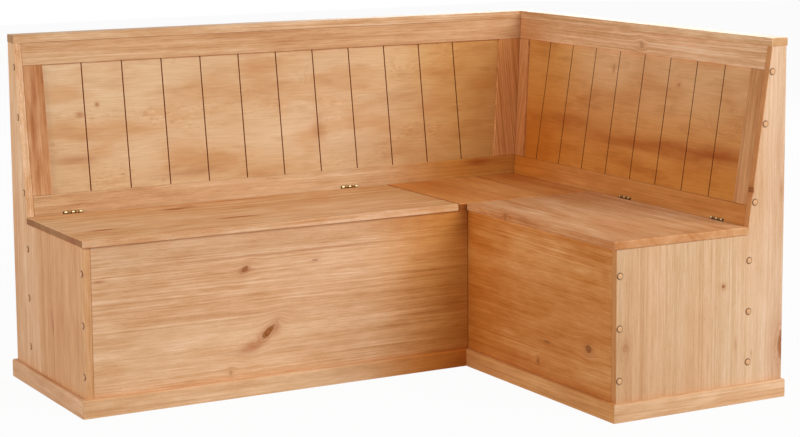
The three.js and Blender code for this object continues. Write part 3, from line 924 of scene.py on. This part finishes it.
def plywood(node, ways, turn, seed, pale, dark, blush, groove_wax_and_shade, burr, streaks, swells, painted_light_and_shade):
    """Peeled pine veneer: blotches and wavy contours that run along the panel, across its grooves.
    The tone in the grooves is dark from the waxed finish and from painted shade, and burr is how
    much curly grain shows. The contours close round a swell: its place along and across, half its
    length and width, and its height in contours. The slow changes of tone are painted light and
    shade."""
    material, start = new_finish(f"{node}_ply")
    along, across, through, _, _, middle = board_place(start, node, ways, turn)
    place = start.node("ShaderNodeCombineXYZ", inputs={0: along, 1: across, 2: through})

    swirl = cloud(place, (1.7, 6.5, 1), seed, detail=3.0)
    contours = (across + swirl * 0.26) / contour_spacing
    ringed = 0.0
    for swell in swells:
        reach = near(along, across + (swirl - 0.5) * 0.04, middle, swell)
        crest = maths("EXPONENT", reach * -1.0)
        contours = contours + crest * swell[4]
        ringed = crest + ringed
    strength = hum(contours * 0.4, seed, detail=2.0).rise(0.35, 0.7) * 0.8 + 0.15
    late = growth_rings(start, contours) * strength
    blotch = cloud(place, (4, 11, 1), seed + 3, detail=5.0)
    smoke = cloud(place, (9, 30, 1), seed + 5, detail=4.0)
    fleck = cloud(place, (55, 150, 1), seed + 7, detail=4.0)
    burl = cloud(place, (5, 12, 1), seed + 11).rise(0.5, 0.68)
    fibre = cloud(place, (12, 420, 420), seed + 15, detail=3.0) - 0.5
    sweep = cloud(place, (2, 4, 1), seed + 19) - 0.5
    waver = cloud(place, (7, 30, 1), seed + 23, detail=3.0) - 0.5

    wood = mixed(late * (ringed * 0.25 + 0.12), pale, dark)
    wood = mixed(blotch.rise(0.42, 0.66) * 0.85, wood, blush)
    wood = mixed(smoke.rise(0.5, 0.74) * 0.3, wood, dark)
    wood = mixed(fleck.rise(0.52, 0.7) * burl * burr, wood, tone(242, 200, 150))
    wood = mixed((1 - fleck.rise(0.28, 0.44)) * burl * burr, wood, dark)
    wood = tinted(start, wood, 1 + fibre * 0.28 + sweep * 0.35, depth=(1.9, 3.0))
    # Streaks of resin, and a few of painted shade near the inner corner
    for streak in streaks:
        reach = near(along, across + waver * (streak[3] * 2.5), middle, streak)
        streak_darkening = maths("EXPONENT", reach * -STREAK_FADE)
        wood = mixed(streak_darkening * streak[4], wood, RESIN_AND_SHADE, "MULTIPLY")
    # Painted light and shade: slow changes of tone along or across the panel
    wood = paint_light_and_shade(wood, along, across, middle, painted_light_and_shade)
    # The grooves: wax with painted shade
    groove = (through + panel_thickness / 2).band(*groove_band)

    height = late * 0.3 + fibre + fleck * 0.4
    sockets = {
        "Base Color": mixed(groove, wood, groove_wax_and_shade),
        "Roughness": 0.5 + (blotch - 0.5) * 0.2 + groove * 0.2,
        "Specular IOR Level": PINE_GLOSS,
        "Normal": bumps(start, height, strength=0.6, depth=0.00004),
    }
    surface(start, sockets)
    dress(node, material)


plywood(
    "long_back_panel",
    "xzy",
    long_turn,
    seed=31.0,
    pale=tone(228, 190, 147),
    dark=tone(188, 127, 71),
    blush=tone(213, 160, 110),
    groove_wax_and_shade=tone(120, 54, 4),
    burr=0.6,
    streaks=[
        (-0.5579, up_long(0.693), 0.007, 0.006, 0.9),
        (-0.6055, up_long(0.673), 0.013, 0.009, 0.7),
        (-0.63, up_long(0.56), 0.07, 0.012, 0.45),
        (0.30, up_long(0.655), 0.09, 0.03, 0.3),
        (0.07, up_long(0.60), 0.02, 0.05, 0.35),
        (-0.33, up_long(0.50), 0.1, 0.012, 0.45),
        (0.20, up_long(0.53), 0.12, 0.05, 0.22),
        (0.37, up_long(0.65), 0.09, 0.07, 0.15),
    ],
    swells=[
        (-0.02, up_long(0.714), 0.09, 0.03, 5.0),
        (0.33, up_long(0.72), 0.07, 0.035, 4.0),
    ],
    # Painted shade: deeper towards the inner corner and towards the seat
    painted_light_and_shade=[
        ("along", 0.1, 0.56, tone(236, 212, 163)),
        ("across", up_long(0.6), up_long(0.49), tone(248, 246, 240)),
    ],
)
plywood(
    "short_back_panel",
    "yzx",
    short_turn,
    seed=37.5,
    pale=tone(236, 183, 130),
    dark=tone(190, 121, 64),
    blush=tone(219, 156, 100),
    groove_wax_and_shade=tone(86, 28, 0),
    burr=0.25,
    streaks=[
        (-0.12, up_short(0.575), 0.34, 0.02, 0.7),
        (-0.42, up_short(0.58), 0.14, 0.022, 0.8),
        (0.27, up_short(0.60), 0.12, 0.018, 0.5),
        (-0.1, up_short(0.515), 0.1, 0.012, 0.4),
        (-0.2225, up_short(0.736), 0.008, 0.008, 0.6),
        (0.068, up_short(0.756), 0.006, 0.01, 0.7),
        # Painted shade near the top of the inner corner
        (0.42, up_short(0.80), 0.09, 0.06, 0.5),
    ],
    swells=[
        (-0.2225, up_short(0.736), 0.05, 0.03, 5.0),
        (-0.43, up_short(0.66), 0.06, 0.05, 5.0),
    ],
    # Painted shade: deeper towards the seat and towards the inner corner
    painted_light_and_shade=[
        ("across", up_short(0.8), up_short(0.5), tone(237, 204, 142)),
        ("along", 0.1, 0.38, tone(243, 225, 176)),
    ],
)

# What sets a board of the frames apart from the others. Their slow changes of tone are painted
# shade, deeper towards the inner corner.
frame_marks = {
    "long_back_top_rail": {"uneven": 0.25},
    "long_back_bottom_rail": {
        "streaks": [(0.56, up_long(0.466), 0.06, 0.012, 1.2)],
        "painted_light_and_shade": [("along", 0.1, 0.5, tone(234, 196, 121))],
    },
    "long_back_end_stile": {
        "figure": 0.35,
        "mottle": 1.1,
        "grain": 0.7,
        "streaks": [
            (up_long(0.735), -0.725, 0.05, 0.008, 0.9),
            (up_long(0.625), -0.735, 0.07, 0.007, 0.8),
        ],
    },
    "long_back_corner_stile": {"figure": 1.3, "mottle": 0.1},
    "short_back_top_rail": {
        "knots": [(-0.05, up_short(0.825), 0.009, 0.006, 0.4, 0.5)],
        "painted_light_and_shade": [("along", 0.3, 0.5, tone(230, 208, 184))],
    },
    "short_back_bottom_rail": {
        "figure": 0.25,
        "grain": 0.7,
        "painted_light_and_shade": [("along", 0.1, 0.42, tone(240, 214, 151))],
    },
    "short_back_end_stile": {"figure": 0.35},
    "short_back_corner_stile": {"figure": 1.3, "mottle": 0.1},
}
for arm, ways, turn, later in (("long", "xzy", long_turn, 0.0), ("short", "yzx", short_turn, 4.7)):
    upright = "z" + ways[0] + ways[2]
    for board, run, seed, ring, heart, lean in (
        ("top_rail", ways, 41.2, 0.0055, (0.012, 0.02), 0.014),
        ("bottom_rail", ways, 42.6, 0.006, (0.016, 0.02), 0.014),
        ("end_stile", upright, 43.1, 0.009, (0.01, 0.016), 0.05),
        ("corner_stile", upright, 44.7, 0.009, (0.09, 0.02), 0.004),
    ):
        node = f"{arm}_back_{board}"
        pine(
            node,
            run,
            *frame_tones[node],
            seed=seed + later,
            ring=ring,
            heart=heart,
            lean=lean,
            turn=turn,
            **frame_marks[node],
        )


# Caps
# A narrow board lies on each back and end, mitred at the corner and held by dowels from below. The
# end grain drinks the oil and stays darker. The short cap is more even, and its tones are paler:
# painted light.

cap_tones = {
    "long_cap": (tone(223, 180, 136), tone(192, 134, 84), tone(215, 163, 114)),
    # Painted light: the paler tones of the short cap
    "short_cap": (tone(247, 207, 164), tone(212, 155, 102), tone(238, 188, 138)),
}
for node, ways, seed, soak, uneven in (
    ("long_cap", "xyz", 51.0, 0.6, 0.5),
    ("short_cap", "yxz", 53.5, 0.42, 0.3),
):
    pine(
        node,
        ways,
        *cap_tones[node],
        seed=seed,
        ring=0.005,
        heart=(0.02, 0.02),
        lean=0.01,
        soak=soak,
        uneven=uneven,
    )


# Inside of the chests
# Rear boards, bottoms and the cleats, bearers, block and battens that show only with the lids up.
# They are sanded but only sealed, so they are paler than the outside.

inner_tones = (tone(232, 200, 158), tone(206, 156, 108), tone(226, 184, 142))
for node, ways, stave, seed in (
    ("long_rear_board", "xzy", 0.15, 61.3),
    ("short_rear_board", "yzx", 0.15, 62.8),
    ("long_bottom_panel", "xyz", 0.19, 63.1),
    ("short_bottom_panel", "yxz", 0.19, 64.6),
    ("long_front_cleat", "xzy", None, 65.2),
    ("long_rear_cleat", "xzy", None, 66.7),
    ("short_front_cleat", "yzx", None, 67.9),
    ("short_rear_cleat", "yzx", None, 68.4),
    ("corner_seat_bearer", "yzx", None, 69.5),
    ("short_lid_bearer", "xzy", None, 70.1),
    ("inner_corner_block", "zxy", None, 71.6),
    ("long_lid_left_batten", "yxz", None, 72.3),
    ("long_lid_right_batten", "yxz", None, 73.8),
    ("short_lid_rear_batten", "xyz", None, 74.2),
    ("short_lid_near_batten", "xyz", None, 75.7),
):
    pine(node, ways, *inner_tones, seed=seed, stave=stave, heart=(0.01, 0.03), lean=0.015)


# Hinges
# Brass butt hinges let into the bottom rails, two to a lid: pressed leaves rolled round a pin in
# five knuckles. They are lacquered and a little dull. The joints are dark with dirt and painted
# shade, and the lid leaves and their screws take a darker copy of the brass: painted shade.

knuckle_length = 0.01

# Where the dirt and painted shade beside a joint thin out and end, in shares of a knuckle
joint_dirt_and_shade = (0.06, 0.2)


def hinge_brass(hinge, finish, bright, dull_tone):
    """The brass of a hinge. The joints between its knuckles stand square to its pin."""
    material, start = new_finish(f"{hinge}_{finish}_brass")
    way = 0 if hinge.startswith("long") else 1
    pin_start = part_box(f"{hinge}_pin")[0][way]
    place = start.node("ShaderNodeTexCoord", output="Object")
    along = start.node("ShaderNodeSeparateXYZ", inputs={0: place}).out(way) - pin_start
    joint = maths("ABSOLUTE", maths("FRACT", along / knuckle_length + 0.5) - 0.5)
    # Dirt and painted shade darken the brass beside each joint
    dirt_and_shade = 1 - joint.rise(*joint_dirt_and_shade)
    dull = cloud(place, (90, 90, 90), 1.0, detail=3.0)
    drawn = cloud(place, (60, 60, 2600), 5.0) - 0.5
    metal = mixed(dull.rise(0.4, 0.7) * 0.6, bright, dull_tone)
    sockets = {
        "Base Color": mixed(dirt_and_shade * 0.9, metal, tone(60, 38, 16)),
        "Metallic": 1.0,
        "Roughness": 0.3 + dull.rise(0.35, 0.75) * 0.2 + drawn * 0.1 + dirt_and_shade * 0.3,
        "Normal": bumps(start, drawn + dull, strength=0.4, depth=0.00005),
    }
    surface(start, sockets)
    return material


hinge_names = ("long_left_hinge", "long_right_hinge", "short_rear_hinge", "short_near_hinge")
polished_tones = (tone(230, 206, 160), tone(182, 146, 92))
# Painted shade: a darker copy of the brass for the lid leaves and their screws
painted_shade_tones = (tone(150, 112, 62), tone(96, 66, 32))
hinge_finish = {}
for hinge in hinge_names:
    polished = hinge_brass(hinge, "polished", *polished_tones)
    painted_shade = hinge_brass(hinge, "painted_shade", *painted_shade_tones)
    for part, finish in (("fixed_leaf", polished), ("lid_leaf", painted_shade), ("pin", polished)):
        dress(f"{hinge}_{part}", finish)
        hinge_finish[f"{hinge}_{part}"] = finish


# Screws
# Countersunk screws with a cross recess: brass ones in the hinge leaves, steel ones in the battens
# and through the boards that meet at the corner, where their heads lie flush with the wood.

screw_steps = 28
longest_tip = 0.005
head_edge = [(0.97, 0.00002), (1.0, -0.00006)]

# The recess, in shares of the head's radius
recess_foot = 0.18
recess_mouth = 0.95
recess_height = 1.1
recess_lift = 0.05
recess_thinness = 0.3


def crossed_screw(name, head, head_depth, shank, length, crown=0.0):
    """A countersunk screw that hangs down from the origin, with a cross pressed into its head. head
    and shank are radii, and crown is how far the head stands up."""
    tip = min(longest_tip, length / 3)
    profile = [(0.0, crown), (head * 0.6, crown * 0.8)]
    profile += [(head * share, height) for share, height in head_edge]
    profile += [(shank, -head_depth), (shank, tip - length), (0.0, -length)]
    blank = bpy.data.objects.new(name, spun(name, profile, screw_steps))
    bpy.context.scene.collection.objects.link(blank)
    cutters = []
    for turn in (0.0, math.pi / 2):
        shape = bmesh.new()
        bmesh.ops.create_cone(
            shape,
            cap_ends=True,
            segments=4,
            radius1=head * recess_foot,
            radius2=head * recess_mouth,
            depth=head * recess_height,
        )
        bmesh.ops.rotate(shape, matrix=Matrix.Rotation(math.pi / 4, 3, "Z"), verts=shape.verts)
        bmesh.ops.scale(shape, vec=(1.0, recess_thinness, 1.0), verts=shape.verts)
        bmesh.ops.rotate(shape, matrix=Matrix.Rotation(turn, 3, "Z"), verts=shape.verts)
        bmesh.ops.translate(shape, vec=(0, 0, crown + head * recess_lift), verts=shape.verts)
        mesh = bpy.data.meshes.new("recess")
        shape.to_mesh(mesh)
        shape.free()
        cutter = bpy.data.objects.new("recess", mesh)
        bpy.context.scene.collection.objects.link(cutter)
        cut = blank.modifiers.new("recess", "BOOLEAN")
        cut.object = cutter
        cut.solver = "EXACT"
        cutters.append(cutter)
    bpy.context.view_layer.update()
    finished = blank.evaluated_get(bpy.context.evaluated_depsgraph_get())
    mesh = bpy.data.meshes.new_from_object(finished)
    for scrap in (blank, *cutters):
        bpy.data.objects.remove(scrap)
    return mesh


def screw_steel():
    material, start = new_finish("zinc_plated_steel")
    place = start.node("ShaderNodeTexCoord", output="Object")
    bloom = cloud(place, (300, 300, 300), 3.0, detail=3.0)
    metal = mixed(bloom.rise(0.35, 0.65), tone(196, 198, 202), tone(158, 158, 156))
    surface(start, {"Base Color": metal, "Metallic": 1.0, "Roughness": 0.3 + bloom * 0.2})
    return material


steel_finish = screw_steel()
leaf_hole_spacing = 0.03
leaf_hole_height = 0.420
pin_depth = 0.10974
half_leaf_gap = 0.0006
leaf_screw_turn = 0.4
leaf_screw = crossed_screw("leaf_screw", head=0.0025, head_depth=0.0012, shank=0.0013, length=0.006)

# The way that an arm runs, the way that it faces, and the plane behind it
arm_ways = {
    "long": (Vector((1, 0, 0)), Vector((0, -1, 0)), Vector((0, rear_of_long_arm, 0))),
    "short": (Vector((0, 1, 0)), Vector((-1, 0, 0)), Vector((rear_of_short_arm, 0, 0))),
}
for hinge in hinge_names:
    arm = hinge.split("_")[0]
    run, forward, rear = arm_ways[arm]
    for part, body, facing in (("fixed_leaf", "carcass", 1), ("lid_leaf", f"{arm}_lid", -1)):
        low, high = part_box(f"{hinge}_{part}")
        middle = run * run.dot((low + high) / 2)
        face = rear + forward * (pin_depth - facing * half_leaf_gap)
        spot = middle + face + Vector((0, 0, leaf_hole_height))
        places = []
        for hand in (-1, 1):
            hole = spot + run * (hand * leaf_hole_spacing / 2)
            places.append(pointed(hole, forward * facing, turn=leaf_screw_turn + hand))
        finish = hinge_finish[f"{hinge}_{part}"]
        set_out(f"{hinge}_{part}_screws", leaf_screw, places, finish, body)

batten_screw_shares = (0.12, 0.5, 0.88)
batten_screw_turn = 0.9
batten_screw = crossed_screw(
    "batten_screw", head=0.0036, head_depth=0.0026, shank=0.0018, length=0.03, crown=0.0005
)
for lid, battens in (("long_lid", ("left", "right")), ("short_lid", ("rear", "near"))):
    for batten in battens:
        low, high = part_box(f"{lid}_{batten}_batten")
        places = []
        for index, share in enumerate(batten_screw_shares):
            spot = low.lerp(high, 0.5)
            if lid == "long_lid":
                spot.y = low.y + share * (high.y - low.y)
            else:
                spot.x = low.x + share * (high.x - low.x)
            spot.z = low.z
            places.append(pointed(spot, (0, 0, -1), turn=index * batten_screw_turn))
        name = f"{lid}_{batten}_batten_screws"
        set_out(name, batten_screw, places, steel_finish, lid)

corner_screw_turn = 1.1
corner_screw = crossed_screw(
    "corner_screw", head=0.0042, head_depth=0.0028, shank=0.0022, length=0.044
)
for kind, outward in (
    ("back_corner", Vector((1, 0, 0))),
    ("rear_board", Vector((0, 1, 0))),
    ("divider", Vector((1, 0, 0))),
):
    nodes = [f"{kind}_screw_{level}" for level in ("low", "middle", "high")]
    places = []
    for index, node in enumerate(nodes):
        low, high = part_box(node)
        middle = (low + high) / 2
        head = middle + outward * outward.dot(high - middle)
        places.append(pointed(head, outward, turn=index * corner_screw_turn))
    screws = set_out(f"{kind}_screws", corner_screw, places, steel_finish, "carcass")
    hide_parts(*nodes)


# Studio
# A plain white floor and backdrop, one broad soft box in front, weaker ones at the left and behind,
# and a dim white room all round. The camera stands where the photograph was taken from.

floor_half = 12.0
floor_drop = 0.0002
floor_shape = bmesh.new()
bmesh.ops.create_grid(floor_shape, x_segments=1, y_segments=1, size=floor_half)
bmesh.ops.translate(floor_shape, vec=(0, 0, -floor_drop), verts=floor_shape.verts)
floor_mesh = bpy.data.meshes.new("studio_floor")
floor_shape.to_mesh(floor_mesh)
floor_shape.free()
studio_floor = bpy.data.objects.new("studio_floor", floor_mesh)
bpy.context.scene.collection.objects.link(studio_floor)


def seen_directly(start):
    """1 for rays that show the background itself: seen, mirrored or seen through."""
    path = start.node("ShaderNodeLightPath")
    seen = maths("MAXIMUM", path.out("Is Camera Ray"), path.out("Is Glossy Ray"))
    return maths("MAXIMUM", seen, path.out("Is Transmission Ray"))


floor_glow = 0.96
floor_shade = 0.6
white = (1, 1, 1, 1)
floor_finish, start = new_finish("floor_white")
matt = (floor_shade, floor_shade, floor_shade, 1)
paper = start.node("ShaderNodeBsdfDiffuse", inputs={"Color": matt})
glow = start.node("ShaderNodeEmission", inputs={"Color": white, "Strength": 1.0})
glowing = seen_directly(start) * floor_glow
floor = start.node("ShaderNodeMixShader", inputs={0: glowing, 1: paper, 2: glow})
start.node("ShaderNodeOutputMaterial", inputs={"Surface": floor})
floor_mesh.materials.append(floor_finish)

room_level = 0.14
world = bpy.data.worlds.new("studio_room")
bpy.context.scene.world = world
world.use_nodes = True
world.node_tree.nodes.clear()
start = Wire(world.node_tree)
seen = seen_directly(start)
level = seen + (1 - seen) * room_level
room = start.node("ShaderNodeBackground", inputs={"Color": white, "Strength": level})
start.node("ShaderNodeOutputWorld", inputs={"Surface": room})


def soft_box(name, place, aim, size, power):
    """A square lamp that points from its place at its aim. Its size is in metres."""
    lamp = bpy.data.lights.new(name, "AREA")
    lamp.size = size
    lamp.energy = power
    box = bpy.data.objects.new(name, lamp)
    box.location = place
    box.rotation_euler = (Vector(place) - Vector(aim)).to_track_quat("Z", "Y").to_euler()
    bpy.context.scene.collection.objects.link(box)


soft_box("front_box", (2.1, -4.5, 3.0), aim=(0.1, 0.1, 0.35), size=3.4, power=240.0)
soft_box("left_box", (-5.0, -0.5, 2.0), aim=(0.1, 0.1, 0.35), size=2.2, power=120.0)
soft_box("rear_box", (3.6, 4.6, 2.6), aim=(0.3, 0.2, 0.35), size=2.4, power=150.0)

bpy.context.scene.view_settings.view_transform = "Standard"

picture_width = 800
picture_height = 437
focal_pixels = 2119.66
sight_row = 150.0
azimuth = math.radians(-29.15)
elevation = math.radians(7.81)
roll = math.radians(-0.41)
distance = 5.59238
aim = Vector((0.19512, 0.2865, 0.54963))

back = Vector(
    (
        math.sin(azimuth) * math.cos(elevation),
        -math.cos(azimuth) * math.cos(elevation),
        math.sin(elevation),
    )
)
right = Vector((math.cos(azimuth), math.sin(azimuth), 0.0))
up = back.cross(right)
axes = Matrix((right, up, back)).transposed() @ Matrix.Rotation(roll, 3, "Z")
camera_data = bpy.data.cameras.new("camera")
camera_data.sensor_width = 36.0
camera_data.lens = focal_pixels / picture_width * camera_data.sensor_width
camera_data.shift_y = -(picture_height / 2 - sight_row) / picture_width
camera = bpy.data.objects.new("camera", camera_data)
camera.matrix_world = Matrix.Translation(aim + back * distance) @ axes.to_4x4()
bpy.context.scene.collection.objects.link(camera)
bpy.context.scene.camera = camera
